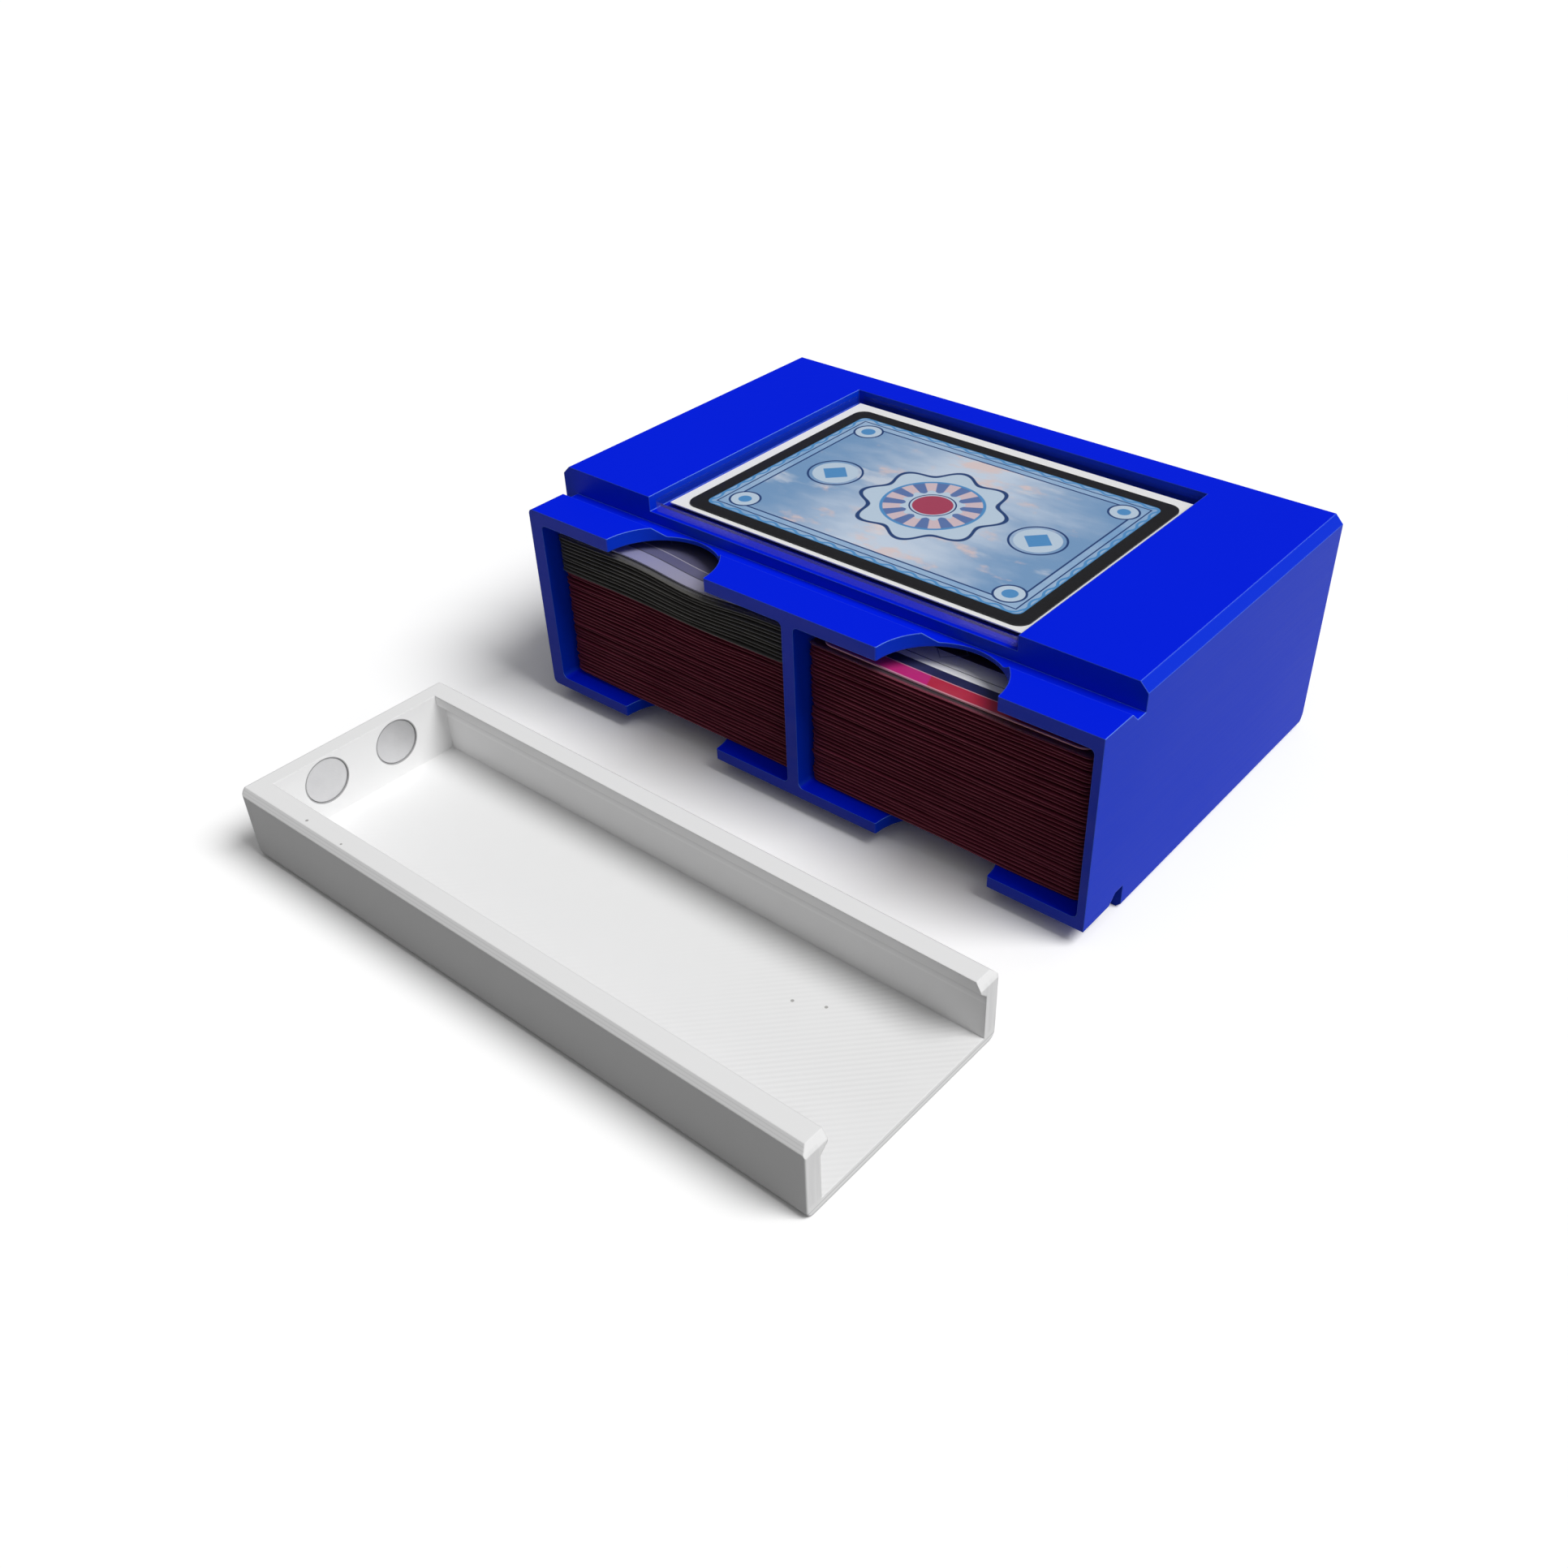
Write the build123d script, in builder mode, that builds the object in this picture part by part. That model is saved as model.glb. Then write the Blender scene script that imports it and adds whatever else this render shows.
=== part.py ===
from build123d import *
import os
from math import cos, radians, sin

# A printed case for two decks of sleeved cards, with a clear card holder let into its top, and a
# cover that slides on from the left along two grooves. The cover lies taken off on the table in
# front of the case, on its outer face. Millimetres. X runs to the right along the front, Y to the
# back, Z up. The origin is the centre of the case's outline, on the surface that it stands on.

# Cards, and the clear sleeves that they are in
card_width = 63.0
card_length = 88.0
card_corner = 3.0
card_thickness = 0.32
sleeve_margin = 1.5  # sleeve beyond the card, on each side
sleeve_film = 0.2
sleeve_seam = 1.0
sleeve_room = 0.14  # air inside the sleeve, over the card
card_gap = 0.2  # between a card's front edge and the sleeve's seam

# Decks in the bays
bay_side_room = 2.9  # bay wider than a sleeve
deck_setback = 4.0  # from the case's front face
deck_back_gap = 0.1
deck_corner_gap = 0.1  # between a deck and the start of the bay's rounded corner
pack_gap = 0.04  # air between two sleeved cards
left_headroom = 2.0  # least room over the left deck
right_headroom = 3.8  # least room over the right deck
dark_in_left_deck = 10
left_red_groups = 4
left_dark_groups = 2
right_red_groups = 5

# Case; its width and depth follow from the cards that it holds
case_height = 52.4
left_wall = 3.6  # between the left bay and the cover's closed end
right_wall = 1.8
back_wall = 1.6
divider_wall = 3.0
top_plate = 3.0  # over the bays, at the neck
bottom_plate = 2.6
bay_corner = 1.2
top_chamfer = 1.9  # long top edges
base_chamfer = 1.0  # long bottom edges
rear_round = 3.5  # bottom edge at the back
neck_corner = 1.2  # left edges of the neck

# Neck that the cover slides over
neck_length = 14.6
groove_depth = 2.1
notch_margin = 0.8  # from the notch's deepest point to the end of the neck
notch_corner = 0.4

# Cover
cover_face = 2.3
cover_wall = 3.6
lip_land = 2.3  # flat tip of the lip
cover_chamfer = 1.3
cover_round = 2.0
cover_corner = 1.0  # upright edges of the closed end
cover_end_round = 0.3  # outline of the open end
lead_length = 1.1  # bevel that leads the lips onto the neck, along the cover
lead_height = 1.9
slide_gap = 0.2  # between the cover and the neck, on each side
groove_gap = 0.4  # between the lip's slope and the groove's slope, along the depth

# Cover's place on the table: its near left corner, and its turn about Z in degrees
cover_left = 0.6  # further left than the case
cover_ahead = 80.2  # from the case's front face
cover_turn = -0.8

# Magnets
magnet_diameter = 10.0
magnet_thickness = 2.0
magnet_spacing = 18.0
magnet_rim = 3.4  # between a magnet's pocket and the case's front face
magnet_sunk = 0.2  # under the face that its pocket is cut in
pocket_gap = 0.1

# Recess in the top, and the clear holder that slides into it from the front
recess_depth = 3.4
recess_back = 3.0  # least width of the top behind the recess
recess_shift = -0.5  # the recess's centre from the case's centre
holder_gap = 0.25  # between the holder and the recess, at the sides and back
holder_setback = 0.95  # from the end of the neck to the holder's front edge
holder_corner = 1.5
holder_rim = 1.1
slot_room = 0.13  # air between the two sheets, over the card
sheet_thickness = 0.8

# Insert behind the card in the holder
insert_thickness = 0.25
insert_gap = 0.6  # from the rim, and from the open end
insert_front_gap = 2.4
insert_side_margin = 2.3  # insert beyond the card, at the left and right
insert_front_margin = 1.3
insert_back_margin = 3.4
card_shift = 0.7  # the card's centre from the insert's centre

# Sizes that follow from those above
step = cover_wall + slide_gap  # the neck is this much smaller at the top, bottom and left
sleeve_width = card_width + 2 * sleeve_margin
sleeve_length = card_length + 2 * sleeve_margin
sleeve_thickness = 2 * sleeve_film + card_thickness + sleeve_room
sleeve_pitch = sleeve_thickness + pack_gap
bay_width = sleeve_width + bay_side_room
bay_depth = deck_setback + sleeve_length + deck_back_gap
insert_width = card_length + 2 * insert_side_margin
insert_depth = insert_front_margin + card_width + insert_back_margin
holder_width = insert_width + holder_rim + 2 * insert_gap
holder_depth = insert_depth + 2 * holder_rim + insert_front_gap + insert_gap
holder_slot = insert_thickness + card_thickness + slot_room
recess_width = holder_width + 2 * holder_gap
recess_length = holder_setback + holder_depth + holder_gap
case_width = step + left_wall + 2 * bay_width + divider_wall + right_wall
case_depth = max(bay_depth + back_wall, neck_length + recess_length + recess_back)
lip_reach = groove_depth - slide_gap
pocket_depth = magnet_thickness + magnet_sunk
magnet_inset = magnet_rim + pocket_gap + magnet_diameter / 2  # its centre from the case's front face

# Places that follow from the sizes above
left = -case_width / 2
right = case_width / 2
front = -case_depth / 2
back = case_depth / 2
middle = case_height / 2
neck_left = left + step
neck_back = front + neck_length
neck_top = case_height - step
groove_top = neck_top - groove_depth
groove_bottom = step + groove_depth
groove_land = neck_back - slide_gap - lip_land - groove_gap  # where the groove's floor starts
groove_start = groove_land - groove_depth
notch_radius = neck_length - notch_margin

bay_floor = step + bottom_plate
bay_ceiling = neck_top - top_plate
bay_height = bay_ceiling - bay_floor
bay_left = neck_left + left_wall
divider_left = bay_left + bay_width
divider_right = divider_left + divider_wall
bay_centers = (bay_left + bay_width / 2, divider_right + bay_width / 2)

recess_floor = case_height - recess_depth

cover_height = cover_face + neck_length
cover_width = case_height
lip_tip = cover_wall + lip_reach
lip_bottom = cover_height - lip_land
magnet_height = cover_face + slide_gap + magnet_inset
magnet_rows = (middle - magnet_spacing / 2, middle + magnet_spacing / 2)

holder_front = neck_back + holder_setback
holder_left = recess_shift - holder_width / 2
slot_floor = recess_floor + sheet_thickness
slot_top = slot_floor + holder_slot
insert_left = holder_left + holder_rim + insert_gap
insert_front = holder_front + holder_rim + insert_front_gap
card_center = insert_left + insert_width / 2 + card_shift

deck_front = front + deck_setback
left_deck = divider_left - bay_corner - deck_corner_gap - sleeve_width
right_deck = divider_right + bay_corner + deck_corner_gap
left_count = int((bay_height - left_headroom) / sleeve_pitch) - 1  # under the top card
right_count = int((bay_height - right_headroom) / sleeve_pitch) - 1
red_in_left_deck = left_count - dark_in_left_deck
dark_level = bay_floor + red_in_left_deck * sleeve_pitch
left_top_level = bay_floor + left_count * sleeve_pitch
right_top_level = bay_floor + right_count * sleeve_pitch

# The cover's own frame: sections of the cover are drawn with their X across its width and their Y
# up, and it runs along the plane's normal, from the closed end to the open one
turn = radians(cover_turn)
cover_section = Plane(
    origin=(left - cover_left, front - cover_ahead, 0),
    x_dir=(-sin(turn), cos(turn), 0),
    z_dir=(cos(turn), sin(turn), 0),
)
# The cover's near side, with its X along the cover and its Y up
cover_side = Plane(origin=cover_section.origin, x_dir=cover_section.z_dir, z_dir=-cover_section.x_dir)

os.makedirs("parts", exist_ok=True)


def save(piece, name):
    piece.label = name
    export_step(piece, f"parts/{name}.step")


def near(value, target):
    return abs(value - target) < 0.001


# Case shell: the side outline, with the neck and both grooves, carried across the width
with BuildPart() as case_shell:
    with BuildSketch(Plane.YZ.offset(left)):
        with BuildLine():
            Polyline(
                (front, step),
                (front, neck_top),
                (groove_start, neck_top),
                (groove_land, groove_top),
                (neck_back, groove_top),
                (neck_back, case_height),
                (back, case_height),
                (back, 0),
                (neck_back, 0),
                (neck_back, groove_bottom),
                (groove_land, groove_bottom),
                (groove_start, step),
                close=True,
            )
        make_face()
    extrude(amount=case_width)

    # Broken edges of the body, before anything is cut from it
    body_edges = case_shell.edges().filter_by(Axis.Y).filter_by(lambda edge: edge.center().Y > neck_back)
    top_edges = body_edges.group_by(Axis.Z)[-1]
    base_edges = body_edges.group_by(Axis.Z)[0]
    chamfer(top_edges, length=top_chamfer)
    chamfer(base_edges, length=base_chamfer)
    rear_edge = case_shell.edges().filter_by(Axis.X).group_by(Axis.Z)[0].sort_by(Axis.Y)[-1]
    fillet(rear_edge, radius=rear_round)

    # The left side of the neck steps in for the cover's closed end
    with BuildSketch(Plane.XY):
        with Locations((left, front)):
            Rectangle(step, neck_length, align=(Align.MIN, Align.MIN))
    extrude(amount=case_height, mode=Mode.SUBTRACT)
    neck_edges = case_shell.edges().filter_by(Axis.Y).filter_by(lambda edge: near(edge.center().X, neck_left))
    fillet(neck_edges.group_by(Axis.Z)[0] + neck_edges.group_by(Axis.Z)[-1], radius=neck_corner)

    # Two bays, open at the front
    with BuildSketch(Plane.XZ.offset(-front)):
        with Locations(*[(center, bay_floor + bay_height / 2) for center in bay_centers]):
            RectangleRounded(bay_width, bay_height, bay_corner)
    extrude(amount=-bay_depth, mode=Mode.SUBTRACT)

    # A thumb notch through the plates over and under each bay, with rounded corners at the front
    with BuildSketch(Plane.XY):
        with Locations(*[(center, front) for center in bay_centers]):
            Circle(notch_radius)
    extrude(amount=case_height, mode=Mode.SUBTRACT)
    front_corners = case_shell.edges().filter_by(Axis.Z).filter_by(lambda edge: near(edge.center().Y, front))
    notch_edges = front_corners.filter_by(
        lambda edge: any(near(abs(edge.center().X - center), notch_radius) for center in bay_centers)
    )
    fillet(notch_edges, radius=notch_corner)

    # Recess for the card holder, open at the front
    with BuildSketch(Plane.XY.offset(recess_floor)):
        with Locations((recess_shift, neck_back)):
            Rectangle(recess_width, recess_length, align=(Align.CENTER, Align.MIN))
    extrude(amount=recess_depth, mode=Mode.SUBTRACT)

    # Magnet pockets in the neck's left side
    with BuildSketch(Plane.YZ.offset(neck_left)):
        with Locations(*[(front + magnet_inset, row) for row in magnet_rows]):
            Circle(magnet_diameter / 2 + pocket_gap)
    extrude(amount=pocket_depth, mode=Mode.SUBTRACT)
save(case_shell.part, "case_shell")

for row, name in zip(magnet_rows, ("case_magnet_lower", "case_magnet_upper")):
    with BuildPart() as case_magnet:
        with BuildSketch(Plane.YZ.offset(neck_left + pocket_depth - magnet_thickness)):
            with Locations((front + magnet_inset, row)):
                Circle(magnet_diameter / 2)
        extrude(amount=magnet_thickness)
    save(case_magnet.part, name)


def cover_place(shape):
    """A point of the cover as (across, up, along) from its near left corner."""
    return cover_section.to_local_coords(shape.center())


# Cover shell: a block with chamfered top edges, hollowed from the open end into a channel with
# lips that point inwards
with BuildPart() as cover_shell:
    with BuildSketch(cover_section):
        with BuildLine():
            Polyline(
                (0, 0),
                (cover_width, 0),
                (cover_width, cover_height - cover_chamfer),
                (cover_width - cover_chamfer, cover_height),
                (cover_chamfer, cover_height),
                (0, cover_height - cover_chamfer),
                close=True,
            )
        make_face()
    extrude(amount=case_width)

    # Rounded upright edges of the closed end, rounded edges of the outer face, and a fine round on
    # the open end's outline below its chamfers
    closed_edges = cover_shell.edges().filter_by(Axis.Z).filter_by(lambda edge: near(cover_place(edge).Z, 0))
    fillet(closed_edges, radius=cover_corner)
    face_edges = cover_shell.edges().filter_by(
        lambda edge: near(cover_place(edge).Y, 0) and cover_place(edge).Z < case_width - cover_corner
    )
    fillet(face_edges, radius=cover_round)
    end_edges = cover_shell.edges().filter_by(
        lambda edge: near(cover_place(edge).Z, case_width)
        and cover_place(edge).Y < cover_height - cover_chamfer - 0.01
    )
    fillet(end_edges, radius=cover_end_round)

    with BuildSketch(cover_section.offset(cover_wall)):
        with BuildLine():
            Polyline(
                (cover_wall, cover_face),
                (cover_width - cover_wall, cover_face),
                (cover_width - cover_wall, lip_bottom - lip_reach),
                (cover_width - lip_tip, lip_bottom),
                (cover_width - lip_tip, cover_height),
                (lip_tip, cover_height),
                (lip_tip, lip_bottom),
                (cover_wall, lip_bottom - lip_reach),
                close=True,
            )
        make_face()
    extrude(amount=case_width - cover_wall, mode=Mode.SUBTRACT)

    # Bevel across the top of the open end
    with BuildSketch(cover_side):
        with BuildLine():
            Polyline(
                (case_width - lead_length, cover_height),
                (case_width, cover_height - lead_height),
                (case_width, cover_height),
                close=True,
            )
        make_face()
    extrude(amount=-cover_width, mode=Mode.SUBTRACT)

    # Magnet pockets in the closed end
    with BuildSketch(cover_section.offset(cover_wall)):
        with Locations(*[(row, magnet_height) for row in magnet_rows]):
            Circle(magnet_diameter / 2 + pocket_gap)
    extrude(amount=-pocket_depth, mode=Mode.SUBTRACT)
save(cover_shell.part, "cover_shell")

for row, name in zip(magnet_rows, ("cover_magnet_near", "cover_magnet_far")):
    with BuildPart() as cover_magnet:
        with BuildSketch(cover_section.offset(cover_wall - pocket_depth)):
            with Locations((row, magnet_height)):
                Circle(magnet_diameter / 2)
        extrude(amount=magnet_thickness)
    save(cover_magnet.part, name)

# Card holder: a clear tray with a rim on three sides, open at its right end, and a clear sheet
# over it
holder_center = (recess_shift, holder_front + holder_depth / 2)
with BuildPart() as holder_tray:
    with BuildSketch(Plane.XY.offset(recess_floor)):
        with Locations(holder_center):
            RectangleRounded(holder_width, holder_depth, holder_corner)
    extrude(amount=sheet_thickness + holder_slot)
    with BuildSketch(Plane.XY.offset(slot_floor)):
        with Locations((holder_left + holder_rim, holder_front + holder_rim)):
            Rectangle(
                holder_width - holder_rim,
                holder_depth - 2 * holder_rim,
                align=(Align.MIN, Align.MIN),
            )
    extrude(amount=holder_slot, mode=Mode.SUBTRACT)
save(holder_tray.part, "holder_back_tray")

with BuildPart() as holder_sheet:
    with BuildSketch(Plane.XY.offset(slot_top)):
        with Locations(holder_center):
            RectangleRounded(holder_width, holder_depth, holder_corner)
    extrude(amount=sheet_thickness)
save(holder_sheet.part, "holder_front_sheet")

with BuildPart() as backing_insert:
    with BuildSketch(Plane.XY.offset(slot_floor)):
        with Locations((insert_left, insert_front)):
            Rectangle(insert_width, insert_depth, align=(Align.MIN, Align.MIN))
    extrude(amount=insert_thickness)
save(backing_insert.part, "holder_backing_insert")

with BuildPart() as display_card:
    with BuildSketch(Plane.XY.offset(slot_floor + insert_thickness)):
        with Locations((card_center, insert_front + insert_front_margin + card_width / 2)):
            RectangleRounded(card_length, card_width, card_corner)
    extrude(amount=card_thickness)
save(display_card.part, "display_card")


def save_pile(name, side, level, count, groups):
    """Writes a pile of sleeved cards, each its own solid, as groups stacked upwards from a level."""
    for group in range(groups):
        numbers = range(group * count // groups, (group + 1) * count // groups)
        levels = [level + number * sleeve_pitch for number in numbers]
        with BuildPart() as pile:
            with Locations(*[(side, deck_front, bottom) for bottom in levels]):
                Box(sleeve_width, sleeve_length, sleeve_thickness, align=(Align.MIN, Align.MIN, Align.MIN))
        save(pile.part, f"{name}_{group + 1}")


def save_top_card(name, side, level):
    """Writes a clear sleeve, open at the back, and the card inside it."""
    with BuildPart() as sleeve:
        with BuildSketch(Plane.XY.offset(level)):
            with Locations((side, deck_front)):
                Rectangle(sleeve_width, sleeve_length, align=(Align.MIN, Align.MIN))
        extrude(amount=sleeve_thickness)
        with BuildSketch(Plane.XY.offset(level + sleeve_film)):
            with Locations((side + sleeve_seam, deck_front + sleeve_seam)):
                Rectangle(
                    sleeve_width - 2 * sleeve_seam,
                    sleeve_length - sleeve_seam,
                    align=(Align.MIN, Align.MIN),
                )
        extrude(amount=sleeve_thickness - 2 * sleeve_film, mode=Mode.SUBTRACT)
    save(sleeve.part, f"{name}_top_sleeve")
    with BuildPart() as card:
        with BuildSketch(Plane.XY.offset(level + sleeve_film)):
            with Locations((side + sleeve_width / 2, deck_front + sleeve_seam + card_gap + card_length / 2)):
                RectangleRounded(card_width, card_length, card_corner)
        extrude(amount=card_thickness)
    save(card.part, f"{name}_top_card")


save_pile("left_red_cards", left_deck, bay_floor, red_in_left_deck, left_red_groups)
save_pile("left_dark_cards", left_deck, dark_level, dark_in_left_deck, left_dark_groups)
save_top_card("left_deck", left_deck, left_top_level)
save_pile("right_red_cards", right_deck, bay_floor, right_count, right_red_groups)
save_top_card("right_deck", right_deck, right_top_level)
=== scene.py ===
"""The looks of a printed case for two decks of sleeved cards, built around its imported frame.

Sizes are metres in the frame of the CAD model: X to the right along the front, Y to the back, Z up.
Values written in millimetres are turned into metres by MM. Materials see places in millimetres.
"""

import logging
import math
from collections.abc import Sequence
from dataclasses import dataclass, field
from enum import Enum

import bpy
import numpy as np
from mathutils import Matrix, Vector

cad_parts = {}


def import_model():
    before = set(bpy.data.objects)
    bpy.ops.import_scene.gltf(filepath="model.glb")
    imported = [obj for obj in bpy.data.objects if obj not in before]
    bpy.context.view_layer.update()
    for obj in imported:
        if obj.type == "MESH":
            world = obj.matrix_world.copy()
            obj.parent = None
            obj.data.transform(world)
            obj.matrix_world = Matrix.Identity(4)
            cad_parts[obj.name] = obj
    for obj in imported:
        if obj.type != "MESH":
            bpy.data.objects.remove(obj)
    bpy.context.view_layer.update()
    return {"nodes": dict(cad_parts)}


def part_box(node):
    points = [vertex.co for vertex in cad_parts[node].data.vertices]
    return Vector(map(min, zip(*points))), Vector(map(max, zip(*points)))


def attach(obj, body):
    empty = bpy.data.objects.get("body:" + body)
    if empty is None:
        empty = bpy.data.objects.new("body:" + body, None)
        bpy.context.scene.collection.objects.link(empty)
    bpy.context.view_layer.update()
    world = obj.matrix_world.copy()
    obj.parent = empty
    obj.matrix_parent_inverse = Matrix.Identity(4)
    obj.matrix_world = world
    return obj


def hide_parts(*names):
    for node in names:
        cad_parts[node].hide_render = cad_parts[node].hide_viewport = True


log = logging.getLogger("card_case")

MM = 0.001
Colour = tuple[float, float, float]
Place = tuple["Field", "Field", "Field"]
Socket = bpy.types.NodeSocket


class Body(Enum):
    """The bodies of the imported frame."""

    CASE = "case"
    COVER = "cover"
    HOLDER = "card_holder"
    LEFT_DECK = "left_deck"
    RIGHT_DECK = "right_deck"


# ---------------------------------------------------------------------------- material graphs


class Graph:
    """A material's or world's node tree, with short calls for the nodes that the finishes use."""

    def __init__(self, name: str, world: bool = False) -> None:
        """Makes an empty material, or an empty world.

        Args:
            name: Its name.
            world: Whether it is a world.
        """
        self.owner = (bpy.data.worlds if world else bpy.data.materials).new(name)
        self.owner.use_nodes = True
        self.tree = self.owner.node_tree
        self.tree.nodes.clear()
        self.output = self.node("ShaderNodeOutputWorld" if world else "ShaderNodeOutputMaterial")

    def node(self, kind: str, inputs: dict | None = None, **settings: object) -> bpy.types.Node:
        """Adds a node.

        Args:
            kind: The node's type.
            inputs: What goes to its inputs, by their names or numbers.
            **settings: Properties to set on it.

        Returns:
            The node.
        """
        made = self.tree.nodes.new(kind)
        for key, value in settings.items():
            setattr(made, key, value)
        for key, value in (inputs or {}).items():
            self.feed(made.inputs[key], value)
        return made

    def feed(self, socket: Socket, value: object) -> None:
        """Links a field or socket to an input, or sets a constant on the input itself.

        Args:
            socket: The input.
            value: A field, a socket, a number or a tuple.
        """
        if isinstance(value, Field):
            value = value.socket
        if isinstance(value, bpy.types.NodeSocket):
            self.tree.links.new(value, socket)
        elif isinstance(value, tuple) and len(value) == 3 and len(socket.default_value) == 4:
            socket.default_value = (*value, 1.0)
        else:
            socket.default_value = value

    def number(self, kind: str, output: str | int = 0, **settings: object) -> "Field":
        """One output of a new node, as a field."""
        return Field(self, self.node(kind, **settings).outputs[output])

    def split(self, vector: Socket) -> Place:
        """A vector's three parts, as fields."""
        made = self.node("ShaderNodeSeparateXYZ", {0: vector})
        return tuple(Field(self, part) for part in made.outputs)

    def place(self) -> Place:
        """The point's place in millimetres, from Object coordinates."""
        parts = self.split(self.node("ShaderNodeTexCoord").outputs["Object"])
        return tuple(part * (1 / MM) for part in parts)

    def facing(self) -> Place:
        """The parts of the surface's own normal."""
        return self.split(self.node("ShaderNodeNewGeometry").outputs["True Normal"])

    def noise(
        self, place: Sequence, scale: float | tuple = 1.0, detail: float = 2.0, rough: float = 0.5
    ) -> "Field":
        """Smooth noise from 0 to 1, one lump for each unit of the scaled place.

        Args:
            place: The place's three parts, fields or numbers.
            scale: What they are multiplied by, one number or one for each.
            detail: How many finer layers the noise has.
            rough: How strong those are.

        Returns:
            The noise.
        """
        scales = scale if isinstance(scale, tuple) else (scale,) * 3
        scaled = {n: part * factor for n, (part, factor) in enumerate(zip(place, scales))}
        joined = self.node("ShaderNodeCombineXYZ", scaled).outputs[0]
        inputs = {"Vector": joined, "Scale": 1.0, "Detail": detail, "Roughness": rough}
        return Field(self, self.node("ShaderNodeTexNoise", inputs, noise_dimensions="3D").outputs["Fac"])

    def mix(self, share: object, low: object, high: object) -> Socket:
        """A colour between two others.

        Args:
            share: How much of the second, a field or a number.
            low: The colour at 0.
            high: The colour at 1.

        Returns:
            The mixed colour's socket.
        """
        return self.node("ShaderNodeMix", {0: share, 6: low, 7: high}, data_type="RGBA").outputs[2]

    def coats(self, base: object, *coats: tuple[object, object]) -> Socket:
        """Lays colours over a base, one after another.

        Args:
            base: The lowest colour.
            *coats: Of each, how much of it shows and its colour.

        Returns:
            The resulting colour's socket.
        """
        for share, colour in coats:
            base = self.mix(share, base, colour)
        return base

    def softened(self, radius: float) -> Socket:
        """Normals as if the edges were rounded with a radius, in metres."""
        return self.node("ShaderNodeBevel", {"Radius": radius}, samples=4).outputs[0]

    def edge(self, softened: Socket) -> "Field":
        """How near an edge the point is: 0 on flat faces and larger towards edges.

        Args:
            softened: Normals from softened().

        Returns:
            One less the cosine between those normals and the true ones.
        """
        true = self.node("ShaderNodeNewGeometry").outputs["Normal"]
        made = self.node("ShaderNodeVectorMath", {0: softened, 1: true}, operation="DOT_PRODUCT")
        return 1.0 - Field(self, made.outputs["Value"])

    def bump(
        self, height: "Field", distance: float, strength: float, normal: Socket | None = None
    ) -> Socket:
        """Normals of a surface that a height field raises.

        Args:
            height: The height, from 0 to 1.
            distance: The rise at 1, in metres.
            strength: How much of it shows.
            normal: The normals to start from.

        Returns:
            The normal's socket.
        """
        inputs = {"Distance": distance, "Strength": strength, "Height": height}
        if normal is not None:
            inputs["Normal"] = normal
        return self.node("ShaderNodeBump", inputs).outputs[0]

    def ended(self, shader: Socket) -> bpy.types.Material | bpy.types.World:
        """Ends the graph in a shader, and gives its material or world."""
        self.feed(self.output.inputs["Surface"], shader)
        return self.owner

    def surface(self, **inputs: object) -> bpy.types.Material:
        """Ends the graph in one Principled shader.

        Args:
            **inputs: The shader's inputs, with underscores for spaces.

        Returns:
            The material.
        """
        named = {key.replace("_", " "): value for key, value in inputs.items()}
        return self.ended(self.node("ShaderNodeBsdfPrincipled", named).outputs[0])


@dataclass(frozen=True)
class Field:
    """A number that varies over a surface. Arithmetic on fields adds Math nodes to their graph."""

    graph: Graph
    socket: Socket

    def _math(self, operation: str, *others: object) -> "Field":
        """A Math node on this field and others."""
        inputs = dict(enumerate((self, *others)))
        return Field(self.graph, self.graph.node("ShaderNodeMath", inputs, operation=operation).outputs[0])

    def __add__(self, other: object) -> "Field":
        """The sum."""
        return self._math("ADD", other)

    __radd__ = __add__

    def __sub__(self, other: object) -> "Field":
        """The difference."""
        return self._math("SUBTRACT", other)

    def __rsub__(self, other: float) -> "Field":
        """A number less this field."""
        return self._math("MULTIPLY_ADD", -1.0, other)

    def __mul__(self, other: object) -> "Field":
        """The product."""
        return self._math("MULTIPLY", other)

    __rmul__ = __mul__

    def __abs__(self) -> "Field":
        """The size without its sign."""
        return self._math("ABSOLUTE")

    def lesser(self, other: object) -> "Field":
        """The smaller of two."""
        return self._math("MINIMUM", other)

    def greater(self, other: object) -> "Field":
        """The larger of two."""
        return self._math("MAXIMUM", other)

    def sine(self, length: float) -> "Field":
        """A wave from -1 to 1 with the given length, in this field's unit."""
        return (self * (2 * math.pi / length))._math("SINE")

    def petals(self, count: int) -> "Field":
        """A wave from -1 to 1 that comes count times in a full turn of this angle."""
        return (self * float(count))._math("SINE")

    def root(self) -> "Field":
        """The square root."""
        return self._math("SQRT")

    def turn_of(self, other: object) -> "Field":
        """The angle of the point (other, self) about the origin."""
        return self._math("ARCTAN2", other)

    def rise(self, low: float, high: float, start: float = 0.0, end: float = 1.0) -> "Field":
        """A smooth step.

        Args:
            low: Where it starts.
            high: Where it ends, which may be the lower of the two.
            start: Its value at the start.
            end: Its value at the end.

        Returns:
            The step, which eases in and out.
        """
        (lower, first), (upper, last) = sorted(((low, start), (high, end)))
        inputs = {"Value": self, "From Min": lower, "To Min": first, "From Max": upper, "To Max": last}
        made = self.graph.node("ShaderNodeMapRange", inputs, interpolation_type="SMOOTHSTEP")
        return Field(self.graph, made.outputs["Result"])

    def line(self, centre: float, width: float, blur: float = 0.08) -> "Field":
        """A stripe: 1 within half the width of the centre, and 0 outside it.

        Args:
            centre: The stripe's middle.
            width: Its width.
            blur: How far its edges fade.

        Returns:
            The stripe.
        """
        return abs(self - centre).rise(width / 2 + blur / 2, width / 2 - blur / 2)


def radius_of(x: Field, y: Field) -> Field:
    """The distance of a point from the origin."""
    return (x * x + y * y).root()


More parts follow.
